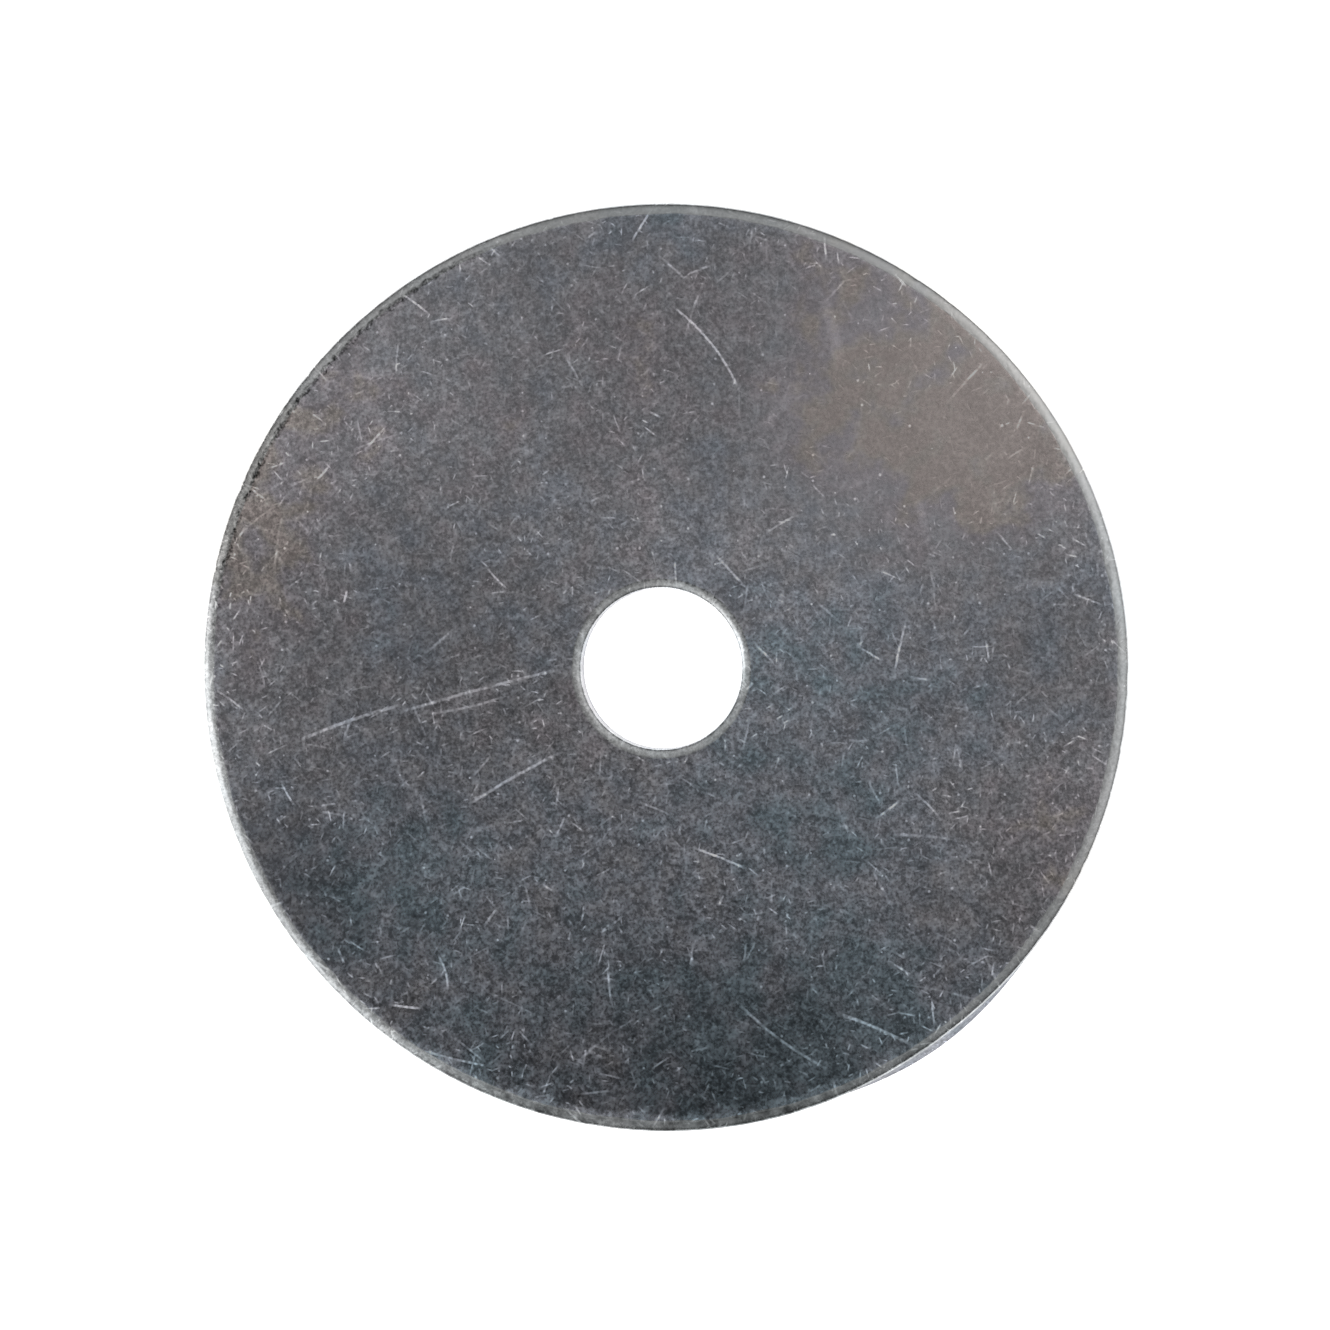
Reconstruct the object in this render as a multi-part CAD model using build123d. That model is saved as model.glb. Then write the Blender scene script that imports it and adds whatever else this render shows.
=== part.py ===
from build123d import *

import os
from math import radians, tan

# A flat repair washer for an M8 bolt, blanked and pierced from steel sheet in one stroke of a
# compound die, then tumbled and zinc plated. It is one piece of metal.
#
# Frame: millimetres. The origin is on the hole's axis, in the plane of the lower flat face.
# +Z runs along the hole's axis, out of the upper face.
#
# The die pulls the upper face down where it starts to cut, at the rim and at the hole. Below
# that rolled edge each cut wall has a straight, burnished land and then a tapered fracture
# zone, which ends at the crisp edge of the lower face.

# The washer's own size
OUTER_DIAMETER = 50.0
BORE_DIAMETER = 8.7
THICKNESS = 2.5

# Rolled edges of the upper face: how far in from the wall they start, and how far they drop
RIM_ROLL_WIDTH = 0.65
RIM_ROLL_DEPTH = 0.40
BORE_ROLL_WIDTH = 0.46
BORE_ROLL_DEPTH = 0.28
ROLL_CREASE_ANGLE = 10.0

# Cut walls: the height of the straight land, and how far the fracture zone leans back from it
RIM_LAND_HEIGHT = 1.0
RIM_FRACTURE_SETBACK = 0.12
BORE_LAND_HEIGHT = 1.2
BORE_FRACTURE_SETBACK = 0.10

# Tumbled edge of the lower face
LOWER_EDGE_RADIUS = 0.12

OUTER_RADIUS = OUTER_DIAMETER / 2
BORE_RADIUS = BORE_DIAMETER / 2


def rolled_edge(face_end, wall_top, outward):
    """Convex curve from the upper face down to a cut wall; outward is the sign of +radius."""
    off_face = (outward, -tan(radians(ROLL_CREASE_ANGLE)))
    down_wall = (0, -1)
    return Spline(face_end, wall_top, tangents=(off_face, down_wall))


def washer_section():
    """One side of the washer's cross-section, with radius along X and height along Y."""
    bore_land_top = THICKNESS - BORE_ROLL_DEPTH
    bore_land_foot = bore_land_top - BORE_LAND_HEIGHT
    rim_land_top = THICKNESS - RIM_ROLL_DEPTH
    rim_land_foot = rim_land_top - RIM_LAND_HEIGHT

    bore_face_end = (BORE_RADIUS + BORE_ROLL_WIDTH, THICKNESS)
    rim_face_end = (OUTER_RADIUS - RIM_ROLL_WIDTH, THICKNESS)
    bore_land = [(BORE_RADIUS, bore_land_top), (BORE_RADIUS, bore_land_foot)]
    rim_land = [(OUTER_RADIUS, rim_land_top), (OUTER_RADIUS, rim_land_foot)]
    bore_foot = (BORE_RADIUS + BORE_FRACTURE_SETBACK, 0)
    rim_foot = (OUTER_RADIUS - RIM_FRACTURE_SETBACK, 0)

    with BuildSketch(Plane.XZ) as section:
        with BuildLine():
            Line(bore_face_end, rim_face_end)
            rolled_edge(rim_face_end, rim_land[0], outward=1)
            Polyline(*rim_land, rim_foot, bore_foot, *reversed(bore_land))
            rolled_edge(bore_face_end, bore_land[0], outward=-1)
        make_face()
        lower_corners = section.vertices().group_by(Axis.Y)[0]
        fillet(lower_corners, LOWER_EDGE_RADIUS)
    return section.sketch


washer = revolve(washer_section(), axis=Axis.Z)

os.makedirs("parts", exist_ok=True)
export_step(washer, "parts/washer.step")
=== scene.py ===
import math
import random

import bpy
from mathutils import Matrix, Vector, noise


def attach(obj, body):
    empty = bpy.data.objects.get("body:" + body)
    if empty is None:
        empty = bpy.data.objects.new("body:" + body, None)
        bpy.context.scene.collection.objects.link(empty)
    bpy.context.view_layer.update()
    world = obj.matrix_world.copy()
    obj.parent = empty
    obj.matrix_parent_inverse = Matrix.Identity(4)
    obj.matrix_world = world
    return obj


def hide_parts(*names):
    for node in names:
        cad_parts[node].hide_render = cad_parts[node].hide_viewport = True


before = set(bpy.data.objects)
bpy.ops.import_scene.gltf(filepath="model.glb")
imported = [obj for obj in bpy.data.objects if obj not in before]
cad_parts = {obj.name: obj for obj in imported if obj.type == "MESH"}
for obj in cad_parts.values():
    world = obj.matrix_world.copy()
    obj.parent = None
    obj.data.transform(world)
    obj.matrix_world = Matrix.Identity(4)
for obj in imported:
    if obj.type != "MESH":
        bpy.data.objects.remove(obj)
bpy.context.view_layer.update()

# A zinc-plated repair washer lying on a white table. Lengths here are millimetres, in the CAD's
# frame: +Z up, with the hole's axis on Z. MM turns them into Blender's metres.
MM = 0.001

# ---------------------------------------------------------------------------------------------
# The washer's section, read off the CAD node
# ---------------------------------------------------------------------------------------------

CAD_POINTS = [
    (math.hypot(v.co.x, v.co.y) / MM, v.co.z / MM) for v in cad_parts["washer"].data.vertices
]
SAME = 0.002  # points this close, in mm, count as being at one height or radius


def radii_at(height):
    """The radii of the CAD's points at one height."""
    return [r for r, z in CAD_POINTS if abs(z - height) < SAME]


def heights_at(radius):
    """The heights of the CAD's points at one radius."""
    return [z for r, z in CAD_POINTS if abs(r - radius) < SAME]


RIM_RADIUS = max(r for r, z in CAD_POINTS)
BORE_RADIUS = min(r for r, z in CAD_POINTS)
THICKNESS = max(z for r, z in CAD_POINTS)
LIP_START, ROLL_START = min(radii_at(THICKNESS)), max(radii_at(THICKNESS))
BORE_FOOT, RIM_FOOT = min(radii_at(0)), max(radii_at(0))
RIM_LAND_FOOT, RIM_LAND_TOP = min(heights_at(RIM_RADIUS)), max(heights_at(RIM_RADIUS))
BORE_LAND_FOOT, BORE_LAND_TOP = min(heights_at(BORE_RADIUS)), max(heights_at(BORE_RADIUS))

LOWER_EDGE = 0.11  # height and width of the tumbled edges of the lower face
CREASE_SLOPE = math.tan(math.radians(10))  # where the upper face breaks into a rolled edge

# ---------------------------------------------------------------------------------------------
# Mesh: the section carried round the axis, with the unevenness of a blanked, tumbled edge
# ---------------------------------------------------------------------------------------------

SEGMENTS = 960

# How far each border between two zones wanders on its way round, and over what pitch
RIM_LAND_WANDER, RIM_LAND_PITCH = 0.16, 3.0
BORE_LAND_WANDER, BORE_LAND_PITCH = 0.16, 9.0
ROLL_WANDER, ROLL_PITCH = 0.06, 2.2
LIP_WANDER, LIP_PITCH = 0.015, 6.0

# Fractal noise in the mesh: its increment, lacunarity and number of octaves
BORDER_NOISE = (0.8, 2.1, 4)
TEAR_NOISE = (0.7, 2.1, 4)

# Tears in the fracture zones are narrow round the washer and long across the sheet
TEAR_DEPTH = 0.045
TEARS_PER_MM_ROUND, TEARS_PER_MM_UP = 3.2, 0.9

FACE_WAVINESS = 0.003
FACE_WAVES_PER_MM = 0.12

# The bit of metal pushed out at the foot of the rim, while the land above it leans in a little
FLARE = 0.50
FLARE_BEARING = math.radians(-54)
FLARE_SPREAD = math.radians(16)
LAND_LEAN = 0.25

# Small dents along the rolled rim and the lower edge
NICK_SEED = 8
NICK_COUNT = 34
NICK_HEIGHTS = (THICKNESS - 0.2, THICKNESS - 0.35, LOWER_EDGE / 2)
NICK_SIZES = (0.2, 0.5)
NICK_DEPTHS = (0.01, 0.03)

# Bake layout: each disc's radius and its centre, which lies on the square's diagonal
UPPER_DISC, UPPER_CENTRE = 0.34, 0.345
LOWER_DISC, LOWER_CENTRE = 0.23, 0.765


def straight(start, end):
    return lambda t: (start[0] + (end[0] - start[0]) * t, start[1] + (end[1] - start[1]) * t)


def face_line(start, end):
    """Straight, with its points crowded at both ends so that shading stays flat up to the edge."""
    line = straight(start, end)
    return lambda t: line(t**3 * (10 - 15 * t + 6 * t * t))


def quarter_round(foot, wall):
    """From the lower face, level, to the wall, upright."""
    return lambda t: (
        foot[0] + (wall[0] - foot[0]) * math.sin(t * math.pi / 2),
        foot[1] + (wall[1] - foot[1]) * (1 - math.cos(t * math.pi / 2)),
    )


def rolled_edge(face_end, wall_top):
    """The cubic from the upper face, with a slight crease, to the wall, upright."""
    reach = math.dist(face_end, wall_top)
    off_face = Vector((math.copysign(1, wall_top[0] - face_end[0]), -CREASE_SLOPE)).normalized()

    def point(t):
        start, leave = 2 * t**3 - 3 * t**2 + 1, t**3 - 2 * t**2 + t
        end, arrive = 3 * t**2 - 2 * t**3, t**3 - t**2
        return (
            start * face_end[0] + end * wall_top[0] + leave * reach * off_face.x,
            start * face_end[1] + end * wall_top[1] + leave * reach * off_face.y - arrive * reach,
        )

    return point


def backwards(curve):
    return lambda t: curve(1 - t)


def ripple(bearing, pitch, seed):
    """Noise round the rim, about -1 to 1, with features of roughly the given pitch in mm."""
    place = Vector((math.cos(bearing), math.sin(bearing), seed)) * RIM_RADIUS / pitch
    return noise.fractal(place, *BORDER_NOISE)


def section(bearing):
    """The section at one bearing, anticlockwise from the hole's foot: (zone, steps, curve)."""
    flare = FLARE * math.exp(-(((bearing - FLARE_BEARING) / FLARE_SPREAD) ** 2))
    rim, rim_foot = RIM_RADIUS - LAND_LEAN * flare, RIM_FOOT + flare
    edge_rim, edge_bore = rim_foot + LOWER_EDGE, BORE_FOOT - LOWER_EDGE
    rim_land_foot = RIM_LAND_FOOT + RIM_LAND_WANDER * ripple(bearing, RIM_LAND_PITCH, 1)
    bore_land_foot = BORE_LAND_FOOT + BORE_LAND_WANDER * ripple(bearing, BORE_LAND_PITCH, 2)
    roll_start = ROLL_START + ROLL_WANDER * ripple(bearing, ROLL_PITCH, 3)
    lip_start = LIP_START + LIP_WANDER * ripple(bearing, LIP_PITCH, 4)
    return [
        ("lower_face", 14, face_line((BORE_FOOT, 0), (rim_foot, 0))),
        ("rim_edge", 5, quarter_round((rim_foot, 0), (edge_rim, LOWER_EDGE))),
        ("rim_fracture", 13, straight((edge_rim, LOWER_EDGE), (rim, rim_land_foot))),
        ("rim_land", 5, straight((rim, rim_land_foot), (rim, RIM_LAND_TOP))),
        ("rim_roll", 18, backwards(rolled_edge((roll_start, THICKNESS), (rim, RIM_LAND_TOP)))),
        ("upper_face", 14, face_line((roll_start, THICKNESS), (lip_start, THICKNESS))),
        ("bore_roll", 9, rolled_edge((lip_start, THICKNESS), (BORE_RADIUS, BORE_LAND_TOP))),
        ("bore_land", 5, straight((BORE_RADIUS, BORE_LAND_TOP), (BORE_RADIUS, bore_land_foot))),
        ("bore_fracture", 10, straight((BORE_RADIUS, bore_land_foot), (edge_bore, LOWER_EDGE))),
        ("bore_edge", 4, backwards(quarter_round((BORE_FOOT, 0), (edge_bore, LOWER_EDGE)))),
    ]


def nicks():
    """The dents as (centre, size, depth)."""
    draw = random.Random(NICK_SEED)
    dents = []
    for _ in range(NICK_COUNT):
        bearing = draw.uniform(-math.pi, math.pi)
        height = draw.choice(NICK_HEIGHTS)
        centre = Vector((RIM_RADIUS * math.cos(bearing), RIM_RADIUS * math.sin(bearing), height))
        dents.append((centre, draw.uniform(*NICK_SIZES), draw.uniform(*NICK_DEPTHS)))
    return dents


def wear_depth(zone, share, point, dents):
    """How far the surface lies below the section's own line at a point, in mm.

    Tears fade out at both ends of a fracture zone, so that its borders stay closed."""
    depth = 0.0
    if zone.endswith("fracture"):
        x, y, z = point
        place = Vector((x * TEARS_PER_MM_ROUND, y * TEARS_PER_MM_ROUND, z * TEARS_PER_MM_UP))
        torn = noise.fractal(place, *TEAR_NOISE)
        depth += TEAR_DEPTH * (0.55 + 0.45 * torn) * min(1, 6 * share * (1 - share))
    if zone.endswith("face"):
        depth += FACE_WAVINESS * (1 + noise.noise(point * FACE_WAVES_PER_MM))
    if zone.startswith("rim"):
        for centre, size, deep in dents:
            away = (point - centre).length / size
            if away < 1:
                depth += deep * (1 - away * away) ** 2
    return depth


def build_washer():
    """The washer as one closed mesh, with its zones as attributes and its own bake layout."""
    rings = [
        (zone, step / steps) for zone, steps, curve in section(0) for step in range(steps)
    ]
    points = []
    for segment in range(SEGMENTS):
        bearing = math.remainder(2 * math.pi * segment / SEGMENTS, 2 * math.pi)
        for zone, steps, curve in section(bearing):
            for step in range(steps):
                r, z = curve(step / steps)
                points.append(Vector((r * math.cos(bearing), r * math.sin(bearing), z)))
    count = len(rings)
    quads = [
        (
            a * count + k,
            b * count + k,
            b * count + (k + 1) % count,
            a * count + (k + 1) % count,
        )
        for a, b in ((s, (s + 1) % SEGMENTS) for s in range(SEGMENTS))
        for k in range(count)
    ]
    mesh = bpy.data.meshes.new("washer_plated")
    mesh.from_pydata([p * MM for p in points], [], quads)
    mesh.update()

    dents = nicks()
    normals = [v.normal.copy() for v in mesh.vertices]
    for index, (point, normal) in enumerate(zip(points, normals)):
        zone, share = rings[index % count]
        worn = point - normal * wear_depth(zone, share, point, dents)
        mesh.vertices[index].co = worn * MM
    mesh.shade_smooth()

    for name in ("roll", "land", "fracture"):
        mask = mesh.attributes.new(name, "FLOAT", "POINT")
        inside = [1.0 if zone.endswith(name) else 0.0 for zone, share in rings]
        mask.data.foreach_set("value", inside * SEGMENTS)
    lay_out(mesh, rings)

    washer = bpy.data.objects.new("washer_plated", mesh)
    bpy.context.scene.collection.objects.link(washer)
    return washer


def lay_out(mesh, rings):
    """Unfolds the skin into two discs: the upper face with both walls, and the lower face."""
    outline = [
        Vector(curve(step / steps)) for zone, steps, curve in section(0) for step in range(steps)
    ]
    count = len(outline)
    along = [0.0]
    for k in range(count):
        along.append(along[-1] + (outline[(k + 1) % count] - outline[k]).length)
    zones = [zone for zone, share in rings]
    upper = zones.index("upper_face")
    fracture_foot = zones.index("rim_fracture")
    bore_edge = zones.index("bore_edge")
    spread_upper = [outline[upper].x + along[upper] - s for s in along]
    spread_lower = [outline[0].x + s - (along[-1] if s > along[upper] else 0) for s in along]
    full_upper, full_lower = spread_upper[fracture_foot], spread_lower[fracture_foot]

    layer = mesh.uv_layers.new(name="OFBake")
    for quad in mesh.polygons:
        segment, k = divmod(quad.index, count)
        lower = k < fracture_foot or k >= bore_edge
        turns_and_rings = ((0, k), (1, k), (1, k + 1), (0, k + 1))
        for corner, (turn, ring) in zip(quad.loop_indices, turns_and_rings):
            bearing = 2 * math.pi * (segment + turn) / SEGMENTS
            if lower:
                reach, centre = LOWER_DISC * spread_lower[ring] / full_lower, LOWER_CENTRE
                bearing = math.pi - bearing
            else:
                reach, centre = UPPER_DISC * spread_upper[ring] / full_upper, UPPER_CENTRE
            layer.data[corner].uv = (
                centre + reach * math.cos(bearing),
                centre + reach * math.sin(bearing),
            )


# ---------------------------------------------------------------------------------------------
# Zinc plate
# ---------------------------------------------------------------------------------------------


class Graph:
    """Adds nodes to a node tree, so that a material reads as a sum of named layers."""

    def __init__(self, tree):
        self.tree = tree
        tree.nodes.clear()

    def node(self, kind, inputs=None, **settings):
        made = self.tree.nodes.new(kind)
        for name, value in settings.items():
            setattr(made, name, value)
        for name, value in (inputs or {}).items():
            self.feed(made.inputs[name], value)
        return made

    def feed(self, socket, value):
        if isinstance(value, bpy.types.NodeSocket):
            self.tree.links.new(value, socket)
        else:
            socket.default_value = value

    def math(self, operation, a, b=0.0):
        return self.node("ShaderNodeMath", {0: a, 1: b}, operation=operation).outputs[0]

    def total(self, terms):
        """Adds the terms one by one as they are made, which keeps few values alive at a time."""
        terms = iter(terms)
        total = next(terms)
        for term in terms:
            total = self.math("ADD", total, term)
        return total

    def add(self, *terms):
        return self.total(terms)

    def times(self, *factors):
        product = factors[0]
        for factor in factors[1:]:
            product = self.math("MULTIPLY", product, factor)
        return product

    def vector(self, operation, a, b=(0, 0, 0)):
        made = self.node("ShaderNodeVectorMath", {0: a}, operation=operation)
        if operation == "SCALE":
            self.feed(made.inputs["Scale"], b)
        else:
            self.feed(made.inputs[1], b)
        gives_number = operation in ("DOT_PRODUCT", "LENGTH", "DISTANCE")
        return made.outputs["Value" if gives_number else "Vector"]

    def split(self, vector):
        return self.node("ShaderNodeSeparateXYZ", {0: vector}).outputs

    def combine(self, x, y, z=0.0):
        return self.node("ShaderNodeCombineXYZ", {0: x, 1: y, 2: z}).outputs[0]

    def fade(self, value, low, high, to_low=0.0, to_high=1.0):
        """Smooth step of value, from to_low at low to to_high at high."""
        made = self.node(
            "ShaderNodeMapRange",
            {"Value": value, "From Min": low, "From Max": high, "To Min": to_low, "To Max": to_high},
            interpolation_type="SMOOTHSTEP",
        )
        return made.outputs[0]

    def noise(self, vector, size, detail=1.0, roughness=0.5, dimensions="2D"):
        """Noise from about -0.5 to 0.5, with features of the given size in mm."""
        made = self.node(
            "ShaderNodeTexNoise",
            {"Vector": vector, "Scale": 1 / size, "Detail": detail, "Roughness": roughness},
            noise_dimensions=dimensions,
        )
        return self.add(made.outputs["Fac"], -0.5)

    def mix(self, factor, a, b):
        """Colour a at factor 0 and b at factor 1; the node keeps its colours in sockets 6, 7 and 2."""
        made = self.node("ShaderNodeMix", {0: factor, 6: a, 7: b}, data_type="RGBA")
        return made.outputs[2]

    def ramp(self, value, stops):
        """Colours along a value; the first two stops are its two ends, and the rest lie between."""
        made = self.node("ShaderNodeValToRGB", {0: value})
        elements = made.color_ramp.elements
        for place, colour in stops[2:]:
            elements.new(place)
        for element, (place, colour) in zip(elements, sorted(stops)):
            element.position = place
            element.color = (*colour, 1)
        return made.outputs[0]

    def attribute(self, name):
        return self.node("ShaderNodeAttribute", attribute_name=name).outputs["Fac"]


# Random scratches, in parts of their cell: half the length of the shortest and what the longest
# has on top, and how strongly they bow. The faintest one's strength is a part of the strongest's.
SCRATCH_HALF_LENGTH, SCRATCH_EXTRA, SCRATCH_BOW, SCRATCH_FAINTEST = 0.12, 0.3, 0.4, 0.25


def random_scratches(g, flat, cell, width, share, seed):
    """A short scratch in some of the cells of a given size in mm; share is the part that has one."""
    shifted = g.vector("ADD", g.vector("SCALE", flat, 1 / cell), (seed * 7.3, seed * 3.1, 0))
    cells = g.node("ShaderNodeTexVoronoi", {"Vector": shifted, "Scale": 1.0}, voronoi_dimensions="2D")
    chance, lot, pick = g.node("ShaderNodeSeparateColor", {0: cells.outputs["Color"]}).outputs[:3]
    own = g.vector("SUBTRACT", shifted, cells.outputs["Position"])
    turned = g.node(
        "ShaderNodeVectorRotate",
        {"Vector": own, "Angle": g.times(chance, 2 * math.pi)},
        rotation_type="Z_AXIS",
    )
    u, v, _ = g.split(turned.outputs[0])
    bow = g.times(g.add(lot, -0.5), SCRATCH_BOW, u, u)
    off_line = g.math("ABSOLUTE", g.add(v, bow))
    across = g.fade(off_line, width / cell, width / cell * 0.25)
    extra = g.times(SCRATCH_EXTRA, g.math("FRACT", g.times(lot, 9.7)))
    half_length = g.add(SCRATCH_HALF_LENGTH, extra)
    along = g.fade(g.math("DIVIDE", g.math("ABSOLUTE", u), half_length), 1.0, 0.35)
    present = g.math("LESS_THAN", pick, share)
    strength = g.times(1 - SCRATCH_FAINTEST, g.math("FRACT", g.times(pick, 31.7)))
    return g.times(across, along, present, g.add(SCRATCH_FAINTEST, strength))


def scratch_sets(g, flat, sets):
    """The sum of several sets of random scratches: (cell, width, share, seed)."""
    return g.total(random_scratches(g, flat, *one_set) for one_set in sets)


def stroke(g, flat, start, end, bow, width):
    """One scratch from start to end, bowed sideways by bow; all in mm."""
    start, end = Vector((*start, 0)), Vector((*end, 0))
    run = end - start
    ahead = run.normalized()
    left = Vector((-ahead.y, ahead.x, 0))
    own = g.vector("SUBTRACT", flat, start)
    share = g.vector("DOT_PRODUCT", own, ahead / run.length)
    arch = g.times(4 * bow, share, g.math("SUBTRACT", 1.0, share))
    across = g.math("ABSOLUTE", g.math("SUBTRACT", g.vector("DOT_PRODUCT", own, left), arch))
    middle = g.math("ABSOLUTE", g.add(share, -0.5))
    return g.times(g.fade(across, width, width * 0.2), g.fade(middle, 0.5, 0.3))


def patches(g, flat, spots):
    """The sum of round soft spots: (centre, radius, amount)."""
    return g.total(
        g.fade(g.vector("DISTANCE", flat, (*centre, 0)), radius, radius * 0.2, 0.0, amount)
        for centre, radius, amount in spots
    )


# The scratches one can pick out on the upper face: start, end, bow, width, brightness
STROKES = (
    ((0.4, 19.6), (4.3, 14.7), 0.45, 0.09, 1.6),
    ((4.2, 15.1), (4.2, 13.4), 0.0, 0.06, 0.3),
    ((-20.3, -4.2), (-13.8, -1.9), 0.15, 0.13, 0.80),
    ((-14.8, -2.6), (-4.8, 0.1), 0.12, 0.12, 0.70),
    ((-13.2, -2.5), (-8.2, -1.4), -0.2, 0.10, 0.55),
    ((-10.8, -7.6), (-5.2, -4.4), 0.1, 0.12, 0.80),
    ((3.9, -17.7), (9.2, -21.6), -0.3, 0.11, 0.8),
    ((9.3, -18.4), (13.6, -20.2), 0.1, 0.12, 1.0),
    ((-12.2, -15.4), (-11.6, -17.6), 0.2, 0.09, 0.8),
    ((-23.3, 6.8), (-21.1, 8.7), 0.1, 0.08, 0.5),
    ((-16.7, 11.8), (-14.0, 12.7), 0.05, 0.07, 0.45),
    ((12.9, -16.9), (17.5, -17.9), 0.15, 0.08, 0.3),
    ((-9.6, -17.5), (-6.2, -19.1), 0.1, 0.07, 0.35),
    ((4.6, -1.2), (4.95, -0.7), 0.0, 0.10, 1.0),
    ((0.8, 4.6), (0.75, 5.8), 0.0, 0.08, 0.7),
    ((4.9, 23.6), (4.7, 22.2), 0.0, 0.08, 0.5),
)

# Sets of random scratches: cell, width, share of the cells that have one, seed
HAIRLINES = ((0.7, 0.05, 0.7, 1), (1.1, 0.055, 0.7, 2), (2.0, 0.06, 0.7, 3))
MARKS = ((2.9, 0.08, 0.5, 4), (5.6, 0.09, 0.45, 5))
SMEARS = ((4.1, 0.30, 0.7, 6), (8.3, 0.45, 0.7, 7))

# Where the passivate film on the upper face is thicker or thinner: centre, radius, amount
FILM_PATCHES = (
    ((15.5, 17.5), 16.5, 0.48),
    ((18.5, 14.5), 9.0, 0.18),
    ((-24.0, 6.0), 11.0, 0.40),
    ((-22.0, 13.0), 9.0, 0.30),
    ((-14.0, 17.0), 10.0, 0.20),
    ((-1.0, 15.0), 12.0, 0.20),
    ((-2.0, 25.0), 7.0, -0.15),
    ((-4.0, -3.0), 4.0, 0.20),
    ((-4.0, -22.0), 20.0, -0.18),
    ((9.0, -21.0), 12.0, -0.35),
    ((-15.0, -11.0), 8.0, -0.25),
    ((8.0, -3.0), 11.0, -0.25),
    ((23.0, -9.0), 9.0, 0.30),
)

# Painted shade and light on the upper face: spots where its colour is darkened or lightened, as the
# mirrored surroundings would darken or lighten it, darkest towards the bottom: centre, radius, amount
PAINTED_SHADE_AND_LIGHT_PATCHES = (
    ((3.0, 2.0), 11.0, 0.16),
    ((3.5, 3.5), 2.6, -0.22),
    ((9.0, -23.0), 12.0, -0.18),
    ((-2.0, -27.0), 19.0, -0.36),
    ((21.0, -16.0), 11.0, -0.18),
    ((21.0, 1.0), 8.0, -0.12),
    ((-22.0, -11.5), 8.0, -0.30),
    ((-18.0, -16.0), 9.0, -0.15),
    ((-13.0, 0.0), 14.0, -0.18),
    ((0.0, 22.0), 17.0, -0.20),
    ((-21.0, 14.0), 9.0, 0.10),
    ((20.0, 15.0), 11.0, 0.08),
)

# Film tints along the film's thickness: the thinnest, the thickest, and those in between
# The thinnest film's teal is darker than the other tints; with the film thinnest towards the bottom,
# this also paints shade there.
FILM_TINTS = (
    (0.0, (0.35, 0.43, 0.49)),  # teal
    (1.0, (0.59, 0.52, 0.50)),  # copper
    (0.30, (0.46, 0.485, 0.545)),  # steel blue
    (0.52, (0.49, 0.49, 0.525)),  # neutral
    (0.78, (0.535, 0.50, 0.535)),  # rose
    (0.92, (0.585, 0.535, 0.51)),  # straw
)
FILM_MEAN = 0.42

# The rolled edges, where tumbling has rubbed most of the film off
ROLL_GREY = (0.485, 0.50, 0.495, 1)
ROLL_RUBBED = 0.75

# The part of the upper face with little grain and few scratches
CLEAN_CENTRE = (14.0, 14.5, 0.0)
CLEAN_OUTER, CLEAN_INNER = 13.0, 4.0

# Specks: pin-point dents, one in some of the cells
SPECK_CELL, SPECK_SHARE = 1.3, 0.3

# A second pair of axes, turned by 36 degrees, so that layers of noise don't line up
TURN_COS, TURN_SIN = 0.81, 0.59

FACE_DEPTH = 0.02  # what lies less than this below the top counts as the upper face
UNDERSIDE_SHIFT = 61.0  # gives the lower face its own stretch of every pattern
BRIGHTEST = (0.95, 0.95, 0.95)
SMOOTHEST = 0.12


class Skin:
    """Where a point of the washer's skin is, in mm, and which zone of the section it is in."""

    def __init__(self, g):
        self.place = g.vector("SCALE", g.node("ShaderNodeTexCoord").outputs["Object"], 1 / MM)
        self.x, self.y, z = g.split(self.place)
        underside = g.math("LESS_THAN", z, THICKNESS / 2)
        self.flat = g.combine(g.add(self.x, g.times(underside, UNDERSIDE_SHIFT)), self.y)
        self.from_axis = g.vector("LENGTH", g.combine(self.x, self.y))
        self.roll, self.land, self.fracture = (
            g.attribute(name) for name in ("roll", "land", "fracture")
        )
        self.upper_half = g.math("SUBTRACT", 1.0, underside)
        self.upper_face = g.math("GREATER_THAN", z, THICKNESS - FACE_DEPTH)
        self.skew = g.combine(
            g.add(g.times(TURN_COS, self.x), g.times(TURN_SIN, self.y)),
            g.add(g.times(TURN_COS, self.y), g.times(-TURN_SIN, self.x)),
        )
        self.clean = g.fade(
            g.vector("DISTANCE", self.flat, CLEAN_CENTRE), CLEAN_OUTER, CLEAN_INNER
        )
        self.burnish = self.rubbed_smooth(g)
        self.torn = g.noise(self.place, 0.2, 3.0, 0.5, "3D")

    def rubbed_smooth(self, g):
        """The lands, and the rim's rolled edge, most of all at the upper right."""
        at_rim = g.math("GREATER_THAN", self.from_axis, RIM_RADIUS / 2)
        towards_upper_right = g.fade(g.add(self.x, self.y), -15.0, 20.0, 0.1, 0.6)
        return g.add(g.times(towards_upper_right, self.roll, at_rim), g.times(0.7, self.land))


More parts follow.
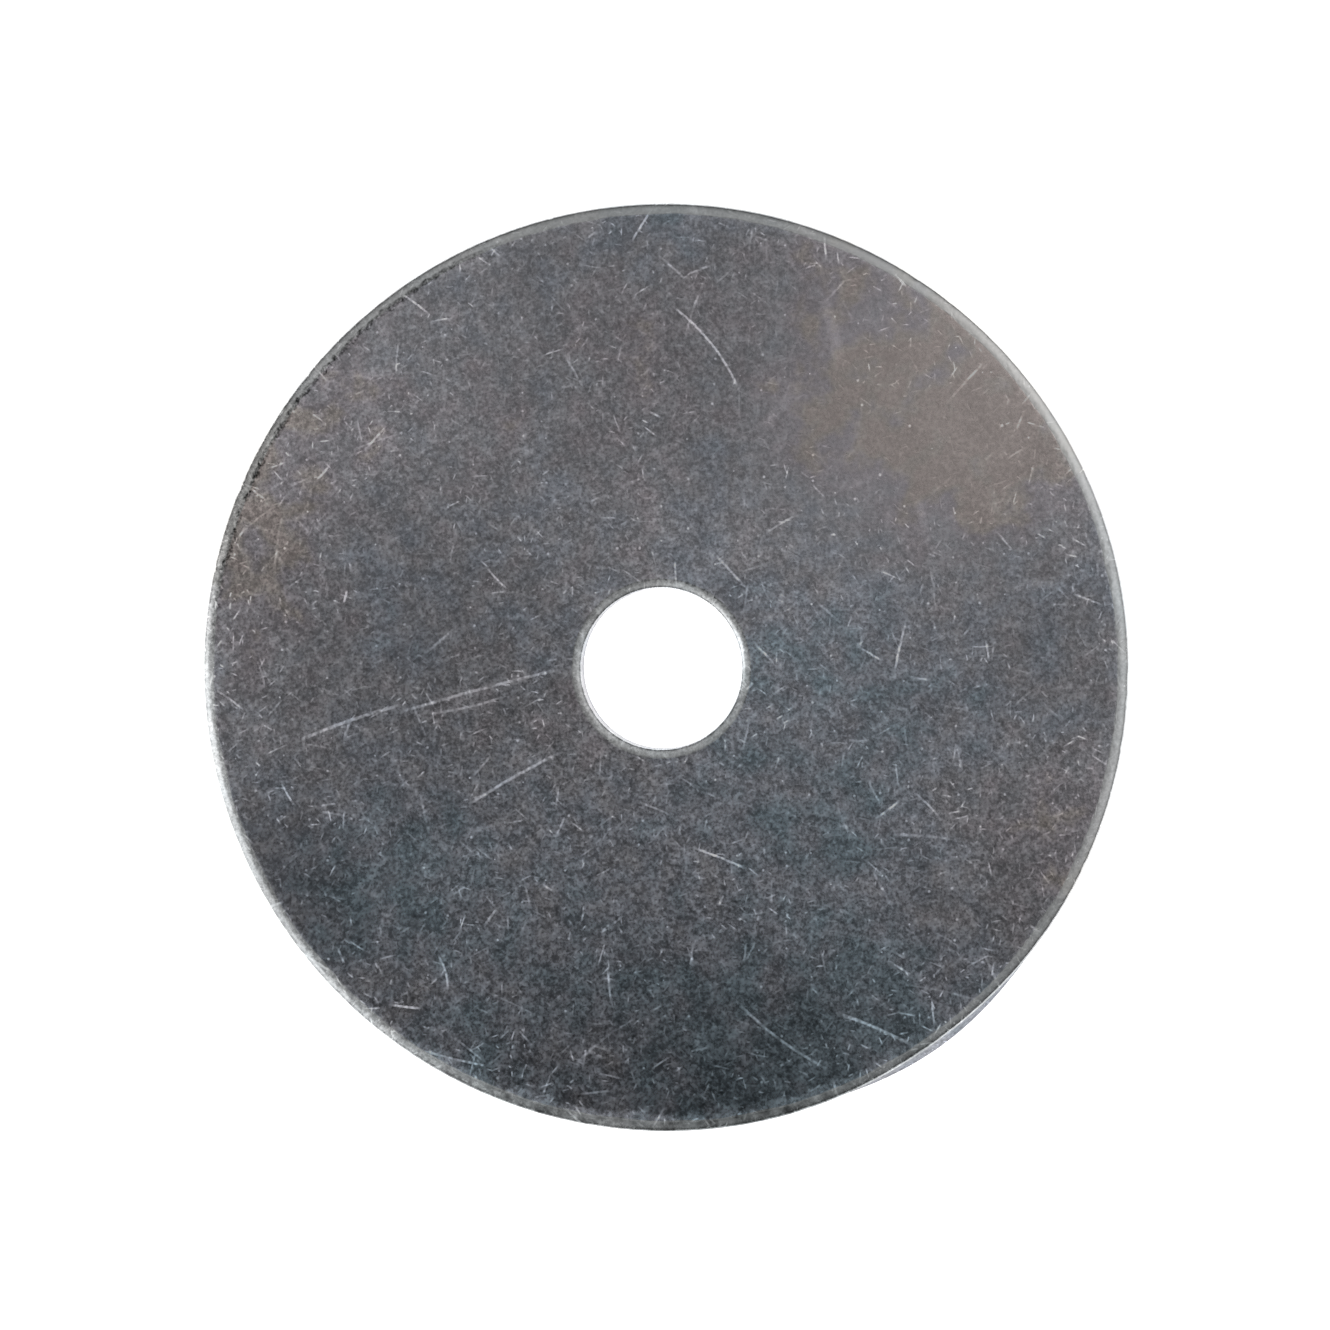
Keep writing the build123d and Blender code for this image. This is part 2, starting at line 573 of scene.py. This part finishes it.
def scratch_layer(g, skin, hairlines):
    """Hairlines and marks, denser in patches and near the rim, and the scratches one can pick out."""
    marks = scratch_sets(g, skin.flat, MARKS)
    density = g.add(
        0.85,
        g.times(3.6, g.noise(skin.flat, 5.0, 2.0)),
        g.fade(skin.from_axis, 20.0, 24.0, 0.0, 0.6),
        g.times(-0.5, skin.clean),
    )
    density = g.math("MAXIMUM", density, 0.15)
    strokes = g.total(
        g.times(brightness, stroke(g, skin.flat, start, end, bow, width))
        for start, end, bow, width, brightness in STROKES
    )
    broken = g.fade(g.noise(skin.skew, 0.25), -0.25, 0.2, 0.3, 1.0)
    scratches = g.add(g.times(0.7, density, hairlines), g.times(0.95, density, marks), strokes)
    scratches = g.times(broken, scratches, g.add(1.0, g.times(-0.8, skin.burnish)))
    return g.math("MINIMUM", scratches, 1.0)


def speck_layer(g, skin):
    """Pin-point bright dents of different sizes."""
    dots = g.node(
        "ShaderNodeTexVoronoi", {"Vector": skin.flat, "Scale": 1 / SPECK_CELL}, voronoi_dimensions="2D"
    )
    lot, size, _ = g.node("ShaderNodeSeparateColor", {0: dots.outputs["Color"]}).outputs[:3]
    return g.times(
        g.fade(dots.outputs["Distance"], g.add(0.03, g.times(0.06, size)), 0.02),
        g.math("LESS_THAN", lot, SPECK_SHARE),
    )


def film_tint(g, skin):
    """The colour of the passivate film, whose thickness drifts across the washer."""
    film = g.add(
        FILM_MEAN,
        patches(g, skin.flat, FILM_PATCHES),
        g.times(0.6, g.noise(skin.flat, 7.0, 2.0)),
        g.times(0.7, g.noise(skin.flat, 1.8, 2.0)),
    )
    return g.mix(g.times(ROLL_RUBBED, skin.roll), g.ramp(film, FILM_TINTS), ROLL_GREY)


def rim_wear_and_painted_light(g, skin, fine):
    """Along the rim: a ragged bright border, most at the bottom, part scuffs and part painted
    highlight; stains on the rolled edge at the bottom; a painted shade line in the crease, upper left.
    """
    patchy = g.noise(skin.skew, 0.9, 3.0)
    ragged = g.add(skin.from_axis, g.times(1.4, patchy))
    # A brighter ragged border inside the rim, strongest at the bottom: partly scuffed wear, partly a
    # painted highlight that carries the rolled edge's bright band onto the face
    scuffs_and_painted_highlight = g.times(
        g.fade(ragged, RIM_RADIUS - 1.15, RIM_RADIUS - 0.7),
        g.fade(skin.y, -17.0, -24.5, 0.15, 1.3),
        skin.upper_face,
        g.add(1.0, g.times(-0.7, skin.roll)),
    )
    at_bottom = g.fade(skin.y, -17.0, -24.0)
    stains = g.times(skin.roll, at_bottom, g.add(-0.15, g.times(1.6, patchy)))
    wobble = g.add(
        skin.from_axis, g.times(0.3, g.noise(skin.flat, 3.0)), g.times(0.25, g.noise(skin.flat, 0.35))
    )
    # Painted shade: a dark line, speckled by the grain, along the crease between the face and the
    # rolled edge at the upper left
    painted_crease_shade = g.times(
        g.fade(g.math("ABSOLUTE", g.add(wobble, -0.06 - ROLL_START)), 0.20, 0.08),
        g.fade(g.add(g.times(-0.8, skin.x), g.times(0.6, skin.y)), 19.0, 23.0),
        skin.upper_half,
        g.add(-0.55, fine),
    )
    return g.add(scuffs_and_painted_highlight, stains, painted_crease_shade)


def zinc_plate():
    """Bright zinc with a thin bluish passivate: mottled grain, fine scratches, dents and tints."""
    material = bpy.data.materials.new("zinc_plated_steel")
    material.use_nodes = True
    g = Graph(material.node_tree)
    skin = Skin(g)

    # Grain: light speckle on a darker ground, weaker where the metal is clean, rubbed or torn
    fine = g.add(g.times(0.55, g.noise(skin.flat, 0.13)), g.times(0.80, g.noise(skin.skew, 0.27, 2.0)))
    coarse = g.add(g.times(0.42, g.noise(skin.flat, 0.6, 2.0)), g.times(0.30, g.noise(skin.skew, 1.9)))
    evenness = g.add(
        1.0, g.times(-0.6, skin.clean), g.times(-1.0, skin.burnish), g.times(-0.8, skin.fracture)
    )
    grain = g.times(evenness, g.add(fine, coarse))

    hairlines = scratch_sets(g, skin.flat, HAIRLINES)
    scratches = scratch_layer(g, skin, hairlines)
    smears = scratch_sets(g, skin.flat, SMEARS)
    speck = speck_layer(g, skin)

    # Brightness of the colour: grain, scratches, specks, tears and smears, with painted highlight and
    # painted shade along the rim
    brightness = g.add(
        g.math("EXPONENT", g.times(1.3, grain)),
        g.times(1.1, scratches),
        g.times(0.7, speck),
        g.times(0.15, skin.clean),
        g.times(skin.fracture, g.add(-0.45, g.times(1.1, skin.torn))),
        g.times(0.30, smears),
        rim_wear_and_painted_light(g, skin, fine),
    )
    # Painted shade and light: the upper face's colour darkened and lightened in spots, darkest towards
    # the bottom
    brightness = g.times(brightness, g.add(1.0, patches(g, skin.flat, PAINTED_SHADE_AND_LIGHT_PATCHES)))
    colour = g.vector("SCALE", film_tint(g, skin), brightness)
    colour = g.vector("MINIMUM", colour, BRIGHTEST)

    roughness = g.add(
        0.27,
        g.times(0.20, grain),
        g.times(0.30, scratches),
        g.times(0.25, speck),
        g.times(0.22, skin.fracture),
        g.times(-0.16, skin.burnish),
    )
    roughness = g.math("MAXIMUM", roughness, SMOOTHEST)

    # Relief, in mm
    height = g.add(
        g.times(0.004, evenness, fine),
        g.times(-0.003, hairlines),
        g.times(0.014, skin.roll, g.noise(skin.flat, 0.4)),
        g.times(0.03, skin.fracture, skin.torn),
    )
    bump = g.node("ShaderNodeBump", {"Height": height, "Strength": 1.0, "Distance": MM})

    shader = g.node(
        "ShaderNodeBsdfPrincipled",
        {
            "Base Color": colour,
            "Metallic": 1.0,
            "Roughness": roughness,
            "Normal": bump.outputs[0],
        },
    )
    g.node("ShaderNodeOutputMaterial", {"Surface": shader.outputs[0]})
    return material


# ---------------------------------------------------------------------------------------------
# Table, studio and camera
# ---------------------------------------------------------------------------------------------

TABLE_SIDE = 3000.0
TABLE_GAP = 0.02
TABLE_WHITE = (0.86, 0.86, 0.86, 1)
TABLE_LIFT = 0.4  # extra light that only the camera sees, so that the table is white in the hole

# The room's brightness by the sine of the height above the horizon: its two ends, then what
# lies between. From the horizon down it is as white as the table.
ROOM_ENDS = ((0.0, 0.90), (1.0, 0.31))
ROOM_STOPS = ((0.02, 0.07), (0.28, 0.13), (0.52, 0.36), (0.78, 0.54), (0.87, 0.55), (0.96, 0.32))

# The room is dimmer on one side and brighter on the side that this direction points to
BRIGHT_SIDE = (0.64, 0.77, 0.0)
SIDE_DIM, SIDE_BRIGHT = 0.78, 1.25

# A dark spot nearly overhead, where the camera is mirrored, and the soft lights: direction,
# outer and inner angle, strength
SHADOW = ((-0.10, -0.17, 0.98), 13, 3, -1.0)
SOFT_LIGHTS = (
    ((0.88, 0.20, 0.42), 50, 12, 0.40),
    ((-0.87, -0.32, 0.38), 33, 16, 1.8),
    ((-0.38, -0.72, 0.58), 33, 8, 0.35),
)

# The light over the table, in metres and watts
TABLE_LIGHT_SIZE, TABLE_LIGHT_HEIGHT, TABLE_LIGHT_POWER = 1.6, 1.0, 24.0

LENS = 100.0
SENSOR = 36.0
WASHER_SHARE = 0.695  # of the picture's width
FRAME_WIDTH = 2 * RIM_RADIUS / WASHER_SHARE
CAMERA_TILT = math.radians(5)
CAMERA_BEARING = math.radians(15)
CAMERA_TARGET = (0.11, 0.17, THICKNESS / 2)


def table():
    """A white table top just below the washer."""
    mesh = bpy.data.meshes.new("table")
    half = TABLE_SIDE / 2
    corners = [(-half, -half), (half, -half), (half, half), (-half, half)]
    mesh.from_pydata([Vector((x, y, -TABLE_GAP)) * MM for x, y in corners], [], [(0, 1, 2, 3)])
    top = bpy.data.objects.new("table", mesh)
    bpy.context.scene.collection.objects.link(top)
    material = bpy.data.materials.new("white_table")
    material.use_nodes = True
    g = Graph(material.node_tree)
    paint = g.node("ShaderNodeBsdfDiffuse", {"Color": TABLE_WHITE})
    seen = g.node("ShaderNodeLightPath").outputs["Is Camera Ray"]
    lift = g.node("ShaderNodeEmission", {"Strength": g.times(TABLE_LIFT, seen)})
    shader = g.node("ShaderNodeAddShader", {0: paint.outputs[0], 1: lift.outputs[0]})
    g.node("ShaderNodeOutputMaterial", {"Surface": shader.outputs[0]})
    mesh.materials.append(material)
    return top


def soft_light(g, direction, towards, edge, core, strength):
    """A round soft light in the room; edge and core are its angular radii in degrees."""
    facing = g.vector("DOT_PRODUCT", direction, Vector(towards).normalized())
    return g.fade(facing, math.cos(math.radians(edge)), math.cos(math.radians(core)), 0.0, strength)


def studio_world():
    """A dim room, lightest two thirds of the way up; the camera itself sees plain white."""
    world = bpy.data.worlds.new("studio")
    bpy.context.scene.world = world
    world.use_nodes = True
    g = Graph(world.node_tree)
    direction = g.node("ShaderNodeTexCoord").outputs["Generated"]
    grey_stops = [(height, (grey, grey, grey)) for height, grey in ROOM_ENDS + ROOM_STOPS]
    by_height = g.ramp(g.split(direction)[2], grey_stops)
    towards_side = g.vector("DOT_PRODUCT", direction, BRIGHT_SIDE)
    side = g.fade(towards_side, -0.7, 0.7, SIDE_DIM, SIDE_BRIGHT)
    room = g.times(side, g.add(1.0, soft_light(g, direction, *SHADOW)))
    lights = g.add(*(soft_light(g, direction, *light) for light in SOFT_LIGHTS))
    shade = g.vector("ADD", g.vector("SCALE", by_height, room), g.combine(lights, lights, lights))
    seen = g.node("ShaderNodeLightPath").outputs["Is Camera Ray"]
    shade = g.mix(seen, shade, (1.0, 1.0, 1.0, 1))
    background = g.node("ShaderNodeBackground", {"Color": shade})
    g.node("ShaderNodeOutputWorld", {"Surface": background.outputs[0]})


def table_light():
    """A broad soft light that whitens the table and isn't mirrored in the metal."""
    data = bpy.data.lights.new("table_light", "AREA")
    data.shape = "DISK"
    data.size = TABLE_LIGHT_SIZE
    data.energy = TABLE_LIGHT_POWER
    light = bpy.data.objects.new("table_light", data)
    light.location = (0, 0, TABLE_LIGHT_HEIGHT)
    light.visible_glossy = False
    bpy.context.scene.collection.objects.link(light)


def camera():
    """Nearly overhead, a little to the right, with +Y at the top of the picture."""
    data = bpy.data.cameras.new("camera")
    data.lens = LENS
    data.sensor_width = SENSOR
    data.clip_start = 0.01
    eye = bpy.data.objects.new("camera", data)
    distance = FRAME_WIDTH * LENS / SENSOR
    lean = math.sin(CAMERA_TILT)
    outward = Vector(
        (lean * math.cos(CAMERA_BEARING), lean * math.sin(CAMERA_BEARING), math.cos(CAMERA_TILT))
    )
    target = Vector(CAMERA_TARGET)
    right = Vector((0, 1, 0)).cross(outward).normalized()
    top = outward.cross(right)
    turn = Matrix((right, top, outward)).transposed().to_4x4()
    eye.matrix_world = Matrix.Translation((target + outward * distance) * MM) @ turn
    bpy.context.scene.collection.objects.link(eye)
    bpy.context.scene.camera = eye


# ---------------------------------------------------------------------------------------------
# The scene
# ---------------------------------------------------------------------------------------------

washer = build_washer()
washer.data.materials.append(zinc_plate())
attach(washer, "root")
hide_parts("washer")

table()
studio_world()
table_light()
camera()
bpy.context.scene.view_settings.view_transform = "Standard"
